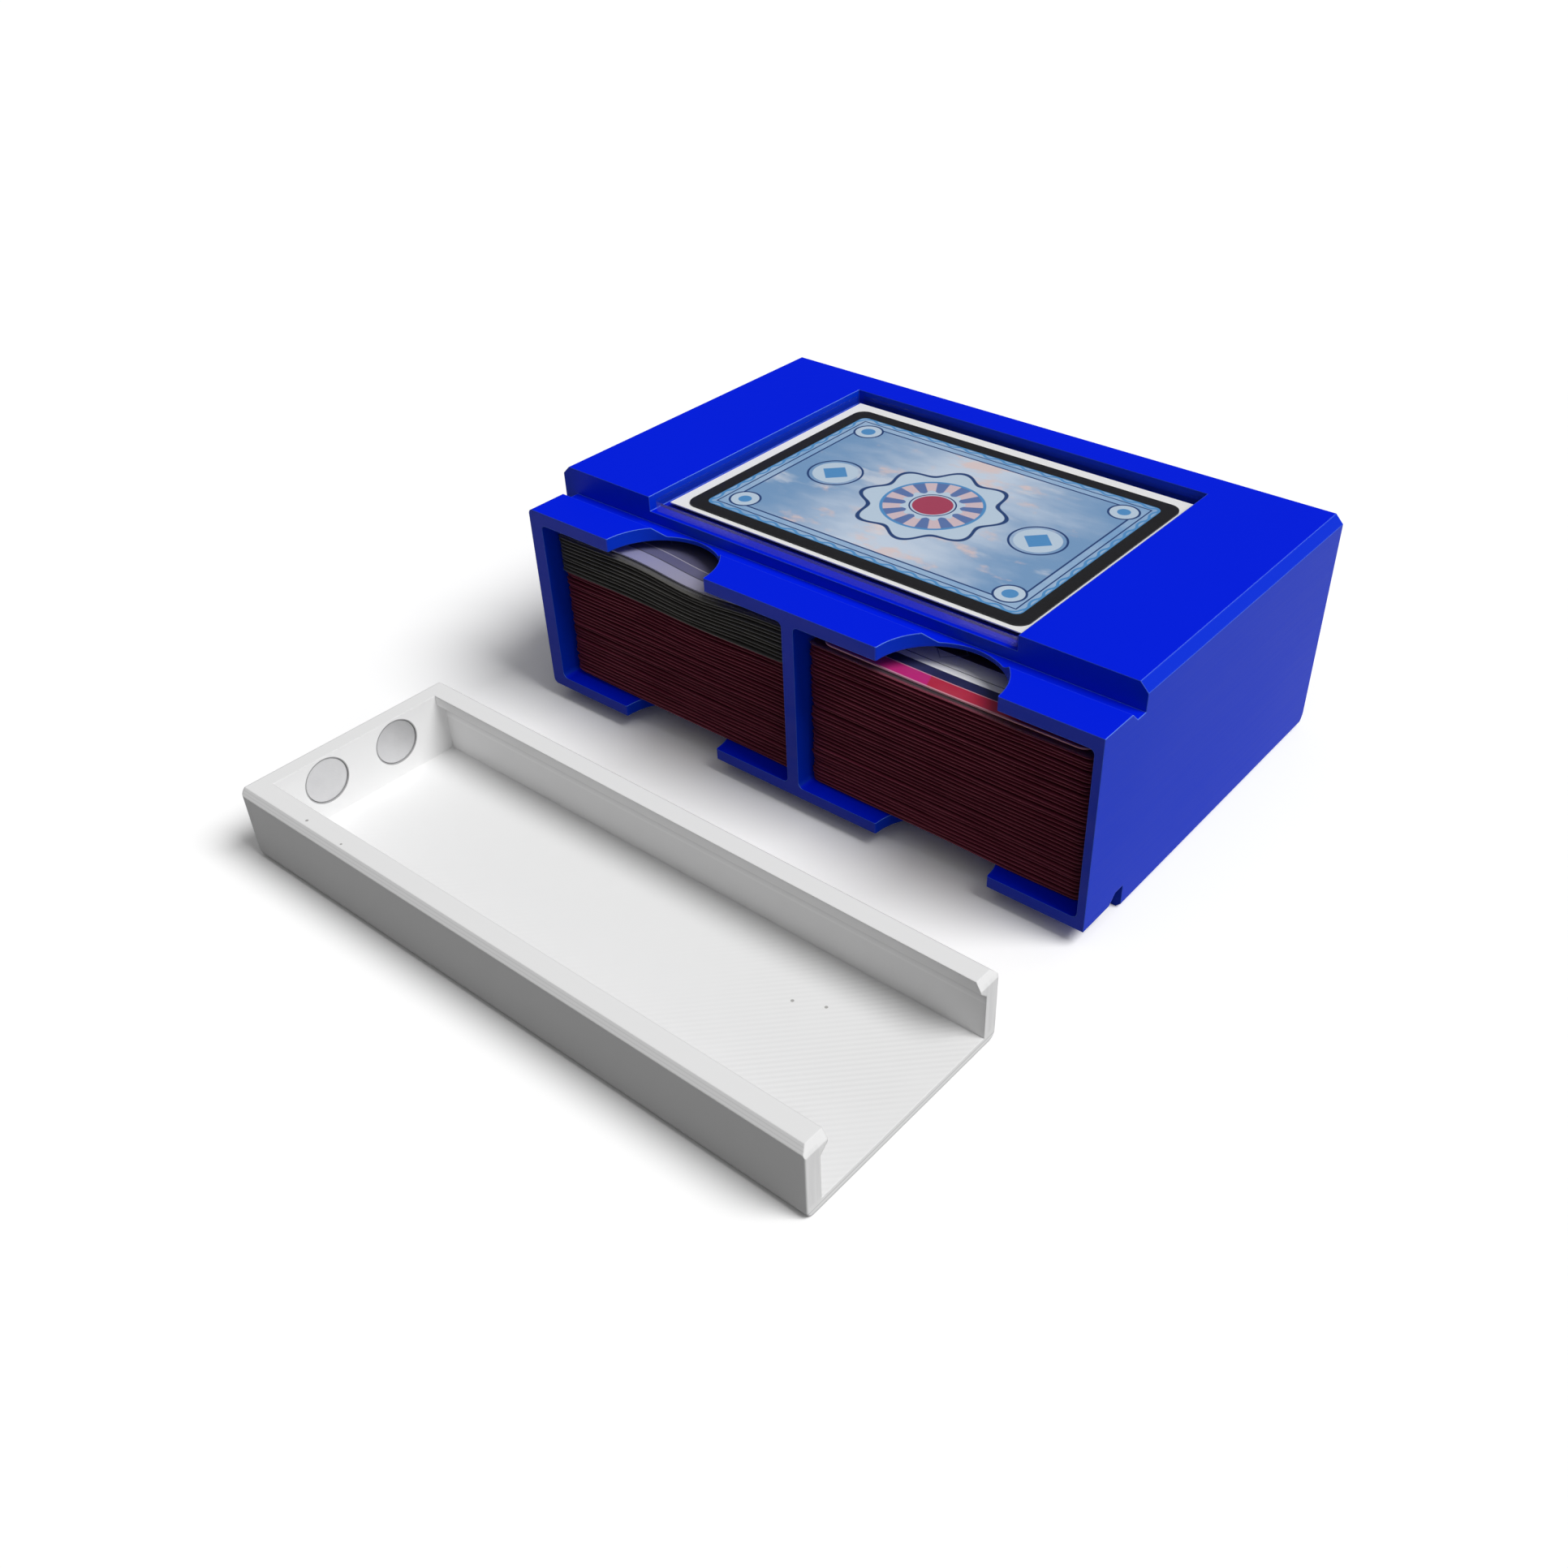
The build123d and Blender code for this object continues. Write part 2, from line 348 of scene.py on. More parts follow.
def box_distance(x: Field, y: Field, half: tuple[float, float], corner: float) -> Field:
    """The signed distance to a rectangle with round corners, negative inside.

    The rectangle shrunk by its corner radius is measured along both axes; outside it the two
    shares are joined as a right triangle's, and the radius is taken off again.

    Args:
        x: The place across.
        y: The place along.
        half: Half the width and half the height.
        corner: The corner radius.

    Returns:
        The distance.
    """
    over_x = abs(x) - (half[0] - corner)
    over_y = abs(y) - (half[1] - corner)
    outside = radius_of(over_x.greater(0.0), over_y.greater(0.0))
    return outside + over_x.greater(over_y).lesser(0.0) - corner


def shaded(colour: Colour, factor: float) -> Colour:
    """A colour made darker or lighter by a factor, and no lighter than white."""
    return tuple(min(1.0, part * factor) for part in colour)


# ---------------------------------------------------------------------------- finishes


@dataclass(frozen=True)
class Mark:
    """A small spot on a print, such as a speck or a dot of stringing, in millimetres."""

    place: tuple[float, float, float]
    radius: float
    colour: Colour
    strength: float = 0.8


@dataclass(frozen=True)
class PrintedPlastic:
    """Printed plastic: fine layer lines on upright faces, slanted fill lines on level ones, softly
    rounded edges with a painted highlight colour, faint streaks and a few specks. Sizes are in millimetres."""

    name: str
    colour: Colour
    # Painted shade: the colour that upright faces take in place of their own.
    side_shade_colour: Colour
    # Painted highlight: the lighter colour laid along rounded edges.
    edge_highlight_colour: Colour
    roughness: float
    shine: float
    layer: float = 0.25
    fill_line: float = 0.42
    fill_depth: float = 0.5
    fill_tone: float = 0.12
    streaks: float = 0.06
    darkest: float = 0.86
    lightest: float = 1.14
    level_matt: float = 0.5
    glint: float = 0.0
    # Painted sheen: how much pale haze the faces that look to the front get, from which y, and its colour.
    front_sheen: float = 0.0
    sheen_from: float = -46.0
    sheen_colour: Colour = (0.1, 0.1, 0.55)
    relief: float = 0.012
    edge_radius: float = 0.35
    # How strong the painted edge highlight is.
    edge_highlight_gain: float = 9.0
    marks: tuple[Mark, ...] = ()

    def filled(self, g: Graph, place: Place) -> Field:
        """Where the slanted fill lines of level faces show: in slow patches."""
        return g.noise(place, 0.06, detail=1.0).rise(0.42, 0.62)

    def details(self, g: Graph, place: Place, base: Socket) -> Socket:
        """The print's own marks over its colour: on a plain print, its listed spots.

        Args:
            g: The material's graph.
            place: The point's place.
            base: The colour so far.

        Returns:
            The colour with the marks.
        """
        x, y, z = place
        for mark in self.marks:
            away = radius_of(radius_of(x - mark.place[0], y - mark.place[1]), z - mark.place[2])
            share = away.rise(mark.radius * 1.25, mark.radius * 0.75) * mark.strength
            base = g.mix(share, base, mark.colour)
        return base

    def material(self) -> bpy.types.Material:
        """Builds the finish.

        Layer lines are a sine of the height, fill lines a sine along a diagonal, and the normal's
        height picks between them. Streaks are noise drawn out along the layers. A painted highlight
        colour lies along rounded edges, most on edges that look up and to a side.

        Returns:
            The material.
        """
        g = Graph(self.name)
        place = g.place()
        x, y, z = place
        _, north, up = g.facing()
        level = abs(up).rise(0.6, 0.9)
        upright = 1.0 - level
        softened = g.softened(self.edge_radius * MM)
        # Painted highlight: the edge mask is strongest where the softened normals look up and to a side.
        aside, _, upward = g.split(softened)
        lit = abs(aside) * upward.greater(0.0) * 2.0
        edge = (g.edge(softened) * self.edge_highlight_gain * (lit * self.glint + 1.0 - self.glint)).lesser(1.0)
        layers = z.sine(self.layer) * 0.5 + 0.5
        fill = (x - y).sine(self.fill_line * math.sqrt(2)) * 0.5 + 0.5
        fill_share = self.filled(g, place) * self.fill_depth
        streak = g.noise(place, (0.035, 0.035, 1.6), detail=3.0) * upright
        diagonal = g.noise((x - y, x + y, z), (0.9, 0.03, 0.1)) * level
        tone = (streak + diagonal - 0.5) * self.streaks + (g.noise(place, 0.02) - 0.5) * self.streaks
        tone = tone - fill * fill_share * level * self.fill_tone
        # Painted shade: upright faces mix towards the side colour, and level faces keep their own colour.
        # The streak tone varies both.
        darker, lighter = (
            g.mix(level, shaded(self.side_shade_colour, factor), shaded(self.colour, factor))
            for factor in (self.darkest, self.lightest)
        )
        base = g.mix((tone + 0.5).lesser(1.0), darker, lighter)
        # Painted sheen: a pale, patchy haze on faces that look to the front, in front of the given y. The
        # painted edge highlight goes over it.
        front_sheen_share = north.rise(-0.6, -0.9) * y.rise(self.sheen_from, self.sheen_from - 1.5)
        front_sheen_share = front_sheen_share * (g.noise(place, (0.05, 0.05, 0.2)) * 0.7 + 0.2)
        base = g.coats(base, (front_sheen_share * self.front_sheen, self.sheen_colour), (edge, self.edge_highlight_colour))
        base = self.details(g, place, base)
        grain = g.noise(place, 5.0)
        rough = (tone * 1.2 + grain * 0.06 + self.roughness - 0.03).lesser(1.0)
        height = layers * upright * 0.4 + fill * fill_share * level + grain * 0.25
        normal = g.bump(height, self.relief * MM, 0.5, softened)
        shine = (1.0 - level * self.level_matt) * self.shine
        return g.surface(Base_Color=base, Roughness=rough, Specular_IOR_Level=shine, Normal=normal)


@dataclass(frozen=True)
class CoverPlastic(PrintedPlastic):
    """The cover's print: the plain one with fill lines near its open end, fine lines on its slanted
    lips, two grey lines and bands on its open end, painted shade and a painted highlight line
    under its far lip, and rings of painted shade round its magnets."""

    origin: tuple[float, float] = (-75.6, -128.55)
    turn: float = math.radians(-0.8)
    length: float = 150.0
    width: float = 52.4
    wall: float = 4.0
    closed_end: float = 8.0
    open_fill: tuple[float, float] = (78.0, 140.0)
    near_fill: tuple[float, float] = (26.0, 8.0)
    fill_level: tuple[float, float] = (9.0, 7.0)
    # Levels and width of two grey lines painted across the open end near its bottom.
    end_lines: tuple[float, float] = (1.45, 0.5)
    seam_width: float = 0.22
    band_level: tuple[float, float] = (2.4, 3.2)
    lip_line: float = 0.42
    # Painted shade under the far lip: its band of levels, and the level of a painted highlight line below
    # it.
    lip_shade: tuple[float, float] = (11.4, 13.2)
    lip_highlight: float = 11.0
    pocket_radius: float = 5.16
    pockets: tuple[tuple[float, float], ...] = ((17.2, 11.0), (35.2, 11.0))
    # The grey of the two lines across the open end.
    end_line_grey: Colour = (0.3, 0.3, 0.31)
    band_grey: Colour = (0.45, 0.45, 0.46)
    line_grey: Colour = (0.5, 0.5, 0.5)
    # Colours of the painted shade and the painted highlight under the far lip.
    shade_grey: Colour = (0.42, 0.42, 0.43)
    highlight_grey: Colour = (0.95, 0.95, 0.95)
    # The colour of the painted shade round the magnet pockets.
    pocket_shade_grey: Colour = (0.16, 0.16, 0.17)

    def own_place(self, x: Field, y: Field) -> tuple[Field, Field]:
        """The place in the cover's own axes, which are turned a little from the case's.

        Args:
            x: The place to the right.
            y: The place to the back.

        Returns:
            The places along it from its closed end, and across it from its near side.
        """
        east, north = x - self.origin[0], y - self.origin[1]
        cosine, sine = math.cos(self.turn), math.sin(self.turn)
        return east * cosine + north * sine, north * cosine - east * sine

    def filled(self, g: Graph, place: Place) -> Field:
        """Where the fill lines show: on the floor towards its open end, and faintly along its near side.

        Args:
            g: The material's graph.
            place: The point's place.

        Returns:
            The share, from 0 up.
        """
        x, y, z = place
        along, across = self.own_place(x, y)
        patches = g.noise(place, 0.06, detail=1.0).rise(0.35, 0.6)
        shown = along.rise(*self.open_fill) + across.rise(*self.near_fill) * 0.35
        return shown * (patches * 0.6 + 0.4) * z.rise(*self.fill_level)

    def details(self, g: Graph, place: Place, base: Socket) -> Socket:
        """Adds the cover's two grey end lines, bands, lip lines, painted shade and a painted highlight
        under its far lip, and rings of painted shade round its magnets.

        Args:
            g: The material's graph.
            place: The point's place.
            base: The colour so far.

        Returns:
            The colour with the marks.
        """
        x, y, z = place
        along, across = self.own_place(x, y)
        facing_x, facing_y, up = g.facing()
        end = along.rise(self.length - 0.5, self.length - 0.2) * facing_x.rise(0.5, 0.8)
        # Two grey lines painted across the open end near its bottom.
        upper, lower = (z.line(end_line, self.seam_width, 0.2) for end_line in self.end_lines)
        bands = g.noise((across, 0.0, z), (1.1, 1.0, 0.03)).rise(0.35, 0.65) * end
        slanted = up.rise(0.5, 0.6) * up.rise(0.9, 0.8)
        inner = self.width - self.wall
        wall = across.rise(inner - 0.4, inner) * facing_y.rise(-0.6, -0.9)
        base = g.coats(
            base,
            ((upper + lower) * end * 0.42, self.end_line_grey),
            (bands * z.rise(*self.band_level) * 0.16, self.band_grey),
            (z.sine(self.lip_line).rise(0.3, 0.9) * slanted * 0.22, self.line_grey),
            # Painted shade under the far lip, and a painted highlight line below it, on the far wall's
            # inner face.
            (wall * z.rise(*self.lip_shade) * 0.5, self.shade_grey),
            (wall * z.line(self.lip_highlight, 0.4, 0.5) * 0.5, self.highlight_grey),
        )
        # Painted shade: a dark ring round each magnet pocket. It is laid through the whole closed end, so
        # it also shows on the end's outer face.
        at_end = along.rise(self.closed_end + 1.0, self.closed_end)
        for centre_across, centre_up in self.pockets:
            away = radius_of(across - centre_across, z - centre_up)
            ring = away.line(self.pocket_radius, 0.36, 0.2) * at_end
            base = g.mix(ring * 0.7, base, self.pocket_shade_grey)
        return super().details(g, place, base)


@dataclass(frozen=True)
class ClearSheet:
    """A thin clear rigid sheet: nearly unseen face on, pale and violet at its front cut edge, with
    a faint haze and a few fine scratches."""

    name: str
    tint: Colour = (0.62, 0.56, 0.9)
    haze_colour: Colour = (0.03, 0.03, 0.04)
    haze: float = 0.012
    sheen: float = 0.12
    contact: float = 50.5
    front: float = -31.0
    edge: float = 0.32
    roughness: float = 0.12

    def material(self) -> bpy.types.Material:
        """Builds the finish: opacity is haze, more at grazing angles, most on the cut edge in front,
        and none where the two sheets touch.

        Returns:
            The material.
        """
        g = Graph(self.name)
        place = g.place()
        x, y, z = place
        _, north, up = g.facing()
        in_front = north.rise(-0.6, -0.9) * y.rise(self.front, self.front - 1.0)
        cut = abs(up).rise(0.8, 0.4) * (in_front * 0.97 + 0.03)
        touching = z.line(self.contact, 0.16, 0.04)
        drawn_out = (x + y * 0.3, y - x * 0.3, z)
        scratches = g.noise(drawn_out, (2.0, 0.05, 1.0), detail=3.0, rough=0.6).rise(0.7, 0.78)
        smears = g.noise(place, 0.05)
        opacity = g.number("ShaderNodeFresnel") * self.sheen + smears * self.haze + scratches * 0.01
        opacity = (opacity * (1.0 - touching) + cut * self.edge).lesser(1.0)
        colour = g.mix(cut, self.haze_colour, self.tint)
        rough = smears * 0.1 + self.roughness
        return g.surface(Base_Color=colour, Roughness=rough, Alpha=opacity, Specular_IOR_Level=0.5)


@dataclass(frozen=True)
class Film:
    """The soft film of a sleeve: coloured and matt, or clear; with a paler painted highlight where
    it is pinched shut.
    """

    name: str
    colour: Colour
    # Painted highlight: the paler colour of the pinched front edge and the side seams.
    pinched: Colour
    opacity: float = 1.0
    roughness: float = 0.42
    relief: float = 0.02

    def material(self) -> bpy.types.Material:
        """Builds the finish: each sleeve's tone and its pinched edge come from attributes on the mesh.

        Returns:
            The material.
        """
        g = Graph(self.name)
        place = g.place()
        tone, pinch = (
            g.number("ShaderNodeAttribute", "Fac", attribute_name=name) for name in ("tone", "pinch")
        )
        grain = g.noise(place, (2.2, 0.5, 2.2), detail=3.0)
        smudge = g.noise(place, (0.09, 0.09, 0.3))
        varied = (tone * 0.6 + grain * 0.4).lesser(1.0)
        base = g.mix(varied, shaded(self.colour, 0.7), shaded(self.colour, 1.3))
        # Painted highlight along the pinched front edge, and weaker along the side seams.
        pinch_highlight = (pinch * (smudge.rise(0.3, 0.62) * 0.3 + 0.6) * (grain * 0.4 + 0.7)).lesser(1.0)
        base = g.mix(pinch_highlight, base, self.pinched)
        inputs = {
            "Normal": g.bump(g.noise(place, 9.0), self.relief * MM, 0.3),
            "Roughness": grain * 0.2 + self.roughness - 0.1,
            "Specular_IOR_Level": 0.2,
        }
        if self.opacity < 1.0:
            glancing = g.number("ShaderNodeFresnel")
            inputs["Alpha"] = (glancing * 0.1 + pinch * 0.02 + smudge * self.opacity).lesser(1.0)
            base = g.mix((pinch * 2.0).lesser(1.0), shaded(self.colour, 0.1), base)
        return g.surface(Base_Color=base, **inputs)


@dataclass(frozen=True)
class PaperStock:
    """Smooth white card stock with a faint fibre grain."""

    name: str
    colour: Colour = (0.92, 0.92, 0.92)

    def material(self) -> bpy.types.Material:
        """Builds the finish: fibres are fine noise drawn out along the sheet.

        Returns:
            The material.
        """
        g = Graph(self.name)
        place = g.place()
        fibres = g.noise(place, (1.2, 5.0, 1.0), detail=4.0, rough=0.65)
        clouds = g.noise(place, (0.08, 0.08, 1.0))
        base = g.mix(fibres * 0.6 + clouds * 0.4, shaded(self.colour, 0.94), shaded(self.colour, 1.04))
        rough = fibres * 0.2 + 0.5
        normal = g.bump(fibres, 0.01 * MM, 0.4)
        return g.surface(Base_Color=base, Roughness=rough, Specular_IOR_Level=0.3, Normal=normal)


@dataclass(frozen=True)
class MagnetPlating:
    """Bright plated metal with fine scratches and softly rounded edges."""

    name: str
    colour: Colour = (0.72, 0.72, 0.73)
    edge_radius: float = 0.3

    def material(self) -> bpy.types.Material:
        """Builds the finish: scratches are noise drawn out along one direction, clouds are slow noise.

        Returns:
            The material.
        """
        g = Graph(self.name)
        place = g.place()
        x, y, z = place
        scratches = g.noise((x, y + z, y - z), (2.0, 4.0, 0.4), detail=4.0, rough=0.7)
        clouds = g.noise(place, 0.3)
        base = g.mix(scratches * 0.5 + clouds * 0.5, shaded(self.colour, 0.88), shaded(self.colour, 1.1))
        normal = g.bump(scratches, 0.01 * MM, 0.25, g.softened(self.edge_radius * MM))
        return g.surface(Base_Color=base, Metallic=0.85, Roughness=scratches * 0.16 + 0.3, Normal=normal)


@dataclass(frozen=True)
class DisplayPrint:
    """The displayed card's print: a black border, a blue frame with ruled lines, and a misty panel
    with a centred rosette, the same from both ends. Sizes are in millimetres."""

    name: str
    centre: tuple[float, float]
    half: tuple[float, float] = (44.0, 31.5)
    border: float = 3.4
    border_corner: float = 1.6
    frame: float = 7.0
    frame_corner: float = 4.0
    side_place: float = 27.0
    corner_place: tuple[float, float] = (34.6, 22.1)
    black: Colour = (0.012, 0.012, 0.014)
    blue: Colour = (0.09, 0.3, 0.62)
    pale: Colour = (0.55, 0.68, 0.82)
    navy: Colour = (0.02, 0.06, 0.2)
    crimson: Colour = (0.42, 0.06, 0.12)
    spokes: tuple[Colour, Colour] = ((0.12, 0.2, 0.45), (0.7, 0.55, 0.6))
    sky: tuple[Colour, Colour] = ((0.62, 0.72, 0.86), (0.2, 0.36, 0.6))
    glow: Colour = (0.82, 0.62, 0.58)
    mist: Colour = (0.86, 0.88, 0.92)
    dots: Colour = (0.5, 0.5, 0.52)

    def inset(self, x: Field, y: Field, margin: float, corner: float) -> Field:
        """The signed distance to the card's outline moved in by a margin, with its own corners."""
        return box_distance(x, y, (self.half[0] - margin, self.half[1] - margin), corner)

    def panel(self, g: Graph, x: Field, y: Field, mist: Field) -> Socket:
        """The misty panel, its rosette, and a round with a diamond at either side.

        The rosette is the radius against waves of the angle.

        Args:
            g: The material's graph.
            x: The place along the card from its middle.
            y: The place across it.
            mist: The mist's noise.

        Returns:
            The colour.
        """
        rolls = g.noise((x, y, 4.2), (0.12, 0.2, 1.0), detail=4.0, rough=0.6)
        away = abs(x) * (1 / (self.half[0] - self.frame))
        sky = g.mix((mist * 0.8 + away * 0.6 - 0.2).rise(0.2, 0.75), *self.sky)
        radius = radius_of(x, y)
        angle = y.turn_of(x)
        star = radius - angle.petals(8) * 1.5
        wheel = angle.petals(12)
        aside = abs(x) - self.side_place
        side = radius_of(aside, y)
        return g.coats(
            sky,
            ((rolls - away * 0.25).rise(0.42, 0.62) * 0.75, self.glow),
            (mist.rise(0.55, 0.7) * 0.6, self.mist),
            (star.rise(16.2, 15.9), self.navy),
            (star.rise(15.2, 14.9), self.pale),
            (radius.rise(11.7, 11.5), self.blue),
            (radius.rise(11.0, 10.8), g.mix(wheel.rise(-0.15, 0.15), *self.spokes)),
            ((radius - wheel * 0.6).rise(6.7, 6.5), self.pale),
            (radius.rise(4.6, 4.4), self.crimson),
            (radius.line(5.1, 0.35), self.navy),
            (side.line(6.2, 0.5), self.navy),
            (side.rise(5.3, 5.1), self.pale),
            ((abs(aside) + abs(y)).rise(3.6, 3.4), self.blue),
        )

    def material(self) -> bpy.types.Material:
        """Builds the print.

        Frames are bands of the signed distance to rectangles with round corners. The mist is noise
        drawn out along the card.

        Returns:
            The material.
        """
        g = Graph(self.name)
        place_x, place_y, place_z = g.place()
        x, y = place_x - self.centre[0], place_y - self.centre[1]
        inner = self.inset(x, y, self.border, self.border_corner)
        panel = self.inset(x, y, self.frame, self.frame_corner)
        mist = g.noise((x * 0.045 + 3.0, y * 0.11, 0.7), detail=5.0, rough=0.55)
        scallops = inner + x.sine(5.2) * y.sine(5.2) * 0.5
        corner = radius_of(abs(x) - self.corner_place[0], abs(y) - self.corner_place[1])
        bud = corner - y.turn_of(x).petals(10) * 0.2
        print_dots = g.noise((x, y, place_z), (3.0, 3.0, 1.0))
        colour = g.coats(
            g.mix(mist, self.blue, self.pale),
            (inner.line(-1.7, 0.35), self.navy),
            (scallops.line(-0.6, 0.7), self.blue),
            (panel.rise(0.05, -0.05), self.panel(g, x, y, mist)),
            (panel.line(0.0, 0.45), self.navy),
            (corner.rise(3.7, 3.55), self.navy),
            (corner.rise(3.2, 3.05), self.pale),
            (bud.rise(1.7, 1.5), self.blue),
            (inner.rise(-0.04, 0.04), self.black),
            (inner.line(0.0, 0.3), self.blue),
            (print_dots * 0.012, self.dots),
        )
        return g.surface(Base_Color=colour, Roughness=print_dots * 0.15 + 0.32, Specular_IOR_Level=0.35)


class Motif(Enum):
    """Which print a deck's top card carries."""

    BACK = "back"
    FACE = "face"


@dataclass(frozen=True)
class TopCardPrint:
    """The print of a deck's top card: nested frames along its edge, and a quiet panel inside."""

    name: str
    motif: Motif
    centre: tuple[float, float]
    half: tuple[float, float] = (31.5, 44.0)
    corner: float = 3.0
    past_middle: float = 99.0
    slant: float = 0.35
    slant_place: float = -20.5
    blend: float = 20.0
    ornament_place: tuple[float, float] = (9.0, -30.0)
    ornament_size: float = 4.0
    ink: Colour = (0.2, 0.22, 0.35)
    cloud: Colour = (0.4, 0.42, 0.5)

    def bands(self) -> list[tuple[float, Colour, Colour]]:
        """The print from its edge inwards.

        Returns:
            Each band's inner depth in millimetres, and its colours at left and right.
        """
        if self.motif is Motif.BACK:
            return [
                (3.6, (0.3, 0.3, 0.5), (0.36, 0.34, 0.42)),
                (3.9, (0.06, 0.06, 0.1), (0.06, 0.06, 0.08)),
                (6.6, (0.12, 0.12, 0.25), (0.13, 0.12, 0.2)),
                (6.85, (0.4, 0.38, 0.48), (0.4, 0.38, 0.42)),
                (self.past_middle, (0.1, 0.1, 0.2), (0.1, 0.09, 0.15)),
            ]
        return [
            (0.35, (0.7, 0.3, 0.42), (0.7, 0.3, 0.36)),
            (3.5, (0.6, 0.015, 0.2), (0.52, 0.015, 0.05)),
            (3.75, (0.7, 0.3, 0.42), (0.7, 0.3, 0.36)),
            (6.3, (0.012, 0.014, 0.09), (0.012, 0.014, 0.08)),
            (8.1, (0.95, 0.95, 0.96), (0.95, 0.95, 0.96)),
            (8.3, (0.1, 0.1, 0.13), (0.1, 0.1, 0.12)),
            (12.5, (0.97, 0.97, 0.96), (0.97, 0.97, 0.96)),
            (self.past_middle, (0.07, 0.04, 0.05), (0.07, 0.04, 0.05)),
        ]

    def material(self) -> bpy.types.Material:
        """Builds the print: bands of the depth from the card's edge, whose colours meet at a slanted
        line on a face and blend across a back.

        Returns:
            The material.
        """
        g = Graph(self.name)
        place_x, place_y, place_z = g.place()
        x, y = place_x - self.centre[0], place_y - self.centre[1]
        depth = box_distance(x, y, self.half, self.corner) * -1.0
        split = x.rise(-self.blend, self.blend)
        if self.motif is Motif.FACE:
            split = (x + y * self.slant - self.slant_place).rise(-0.2, 0.2)
        clouds = g.noise((x, y, place_z), (0.15, 0.15, 1.0), detail=3.0)
        colour: object = (0.5, 0.5, 0.5)
        start = -1.0
        for end, left, right in self.bands():
            colour = g.mix(depth.rise(start - 0.05, start + 0.05), colour, g.mix(split, left, right))
            start = end
        aside, ahead = abs(x) - self.ornament_place[0], y - self.ornament_place[1]
        ornament = (abs(aside) + abs(ahead)).line(self.ornament_size, 0.4)
        colour = g.coats(colour, (ornament * 0.5, self.ink), (clouds.rise(0.3, 0.8) * 0.05, self.cloud))
        return g.surface(Base_Color=colour, Roughness=clouds * 0.2 + 0.35, Specular_IOR_Level=0.4)


@dataclass(frozen=True)
class Table:
    """The white floor: its open part renders white and keeps the shadows, and it lights the object
    only as much as a matt grey table does. Seen from below it isn't there."""

    name: str
    seen: float = 0.9
    lift: float = 0.22
    bounce: float = 0.24

    def material(self) -> bpy.types.Material:
        """Builds the floor: a matt shader, and a second one for rays from the camera, mirrors and glass.

        Returns:
            The material.
        """
        g = Graph(self.name)
        rays = g.node("ShaderNodeLightPath").outputs
        shown = Field(g, rays["Is Camera Ray"])
        for kind in ("Is Glossy Ray", "Is Transmission Ray"):
            shown = shown.greater(Field(g, rays[kind]))
        clouds = g.noise(g.place(), (0.01, 0.01, 1.0))
        pale = g.mix(clouds, (self.seen - 0.01,) * 3, (self.seen,) * 3)
        matt, second = (
            g.node("ShaderNodeBsdfDiffuse", {"Color": g.mix(shown, (hidden,) * 3, colour)}).outputs[0]
            for hidden, colour in ((self.bounce, pale), (0.0, (self.lift,) * 3))
        )
        joined = g.node("ShaderNodeAddShader", {0: matt, 1: second}).outputs[0]
        clear = g.node("ShaderNodeBsdfTransparent").outputs[0]
        below = g.node("ShaderNodeNewGeometry").outputs["Backfacing"]
        return g.ended(g.node("ShaderNodeMixShader", {0: below, 1: joined, 2: clear}).outputs[0])


# ---------------------------------------------------------------------------- meshes


def mesh_object(
    name: str, points: np.ndarray, faces: Sequence[Sequence[int]], body: Body | None, smooth: bool = True
) -> bpy.types.Object:
    """Makes a mesh object at the origin.

    Args:
        name: The piece's name.
        points: Vertices, one row each, in metres.
        faces: Vertex numbers of each face.
        body: The body that it rides on, if any.
        smooth: Whether its faces are shaded smooth.

    Returns:
        The object.
    """
    mesh = bpy.data.meshes.new(name)
    mesh.from_pydata(points.astype(float), [], [list(face) for face in faces])
    mesh.polygons.foreach_set("use_smooth", np.full(len(mesh.polygons), smooth))
    mesh.validate()
    mesh.update()
    made = bpy.data.objects.new(name, mesh)
    bpy.context.scene.collection.objects.link(made)
    if body is not None:
        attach(made, body.value)
    return made


def store(piece: bpy.types.Object, name: str, values: np.ndarray) -> None:
    """Stores one number for each vertex.

    Args:
        piece: The piece.
        name: The attribute's name.
        values: The numbers, in the order of the vertices.
    """
    numbers = piece.data.attributes.new(name, "FLOAT", "POINT")
    numbers.data.foreach_set("value", values.astype(np.float32).ravel())


def ring_faces(shells: int, columns: int, ring: int) -> list[list[int]]:
    """Faces of closed shells whose vertices are numbered by shell, column and place on the ring.

    Neighbouring columns and neighbouring ring places bound a quad; a polygon shuts each end.

    Args:
        shells: How many separate shells.
        columns: How many rings along each.
        ring: How many vertices in a ring.

    Returns:
        The faces, facing outwards where the ring runs anticlockwise seen from its far end.
    """
    s, c, r = np.meshgrid(np.arange(shells), np.arange(columns - 1), np.arange(ring), indexing="ij")
    base = (s * columns + c) * ring
    after = (r + 1) % ring
    quads = np.stack([base + r, base + after, base + ring + after, base + ring + r], -1).reshape(-1, 4)
    starts = np.arange(shells)[:, None] * columns * ring
    first = starts + np.arange(ring)[::-1]
    last = starts + (columns - 1) * ring + np.arange(ring)
    return [*quads.tolist(), *first.tolist(), *last.tolist()]


def eased(count: int) -> np.ndarray:
    """Places from 0 to 1 that stand closer together towards both ends, by half a cosine wave."""
    return 0.5 - 0.5 * np.cos(np.linspace(0, math.pi, count))


def dress(node: bpy.types.Object, material: bpy.types.Material) -> None:
    """Gives an object one material in place of those that it has."""
    node.data.materials.clear()
    node.data.materials.append(material)


# ---------------------------------------------------------------------------- sub-assemblies


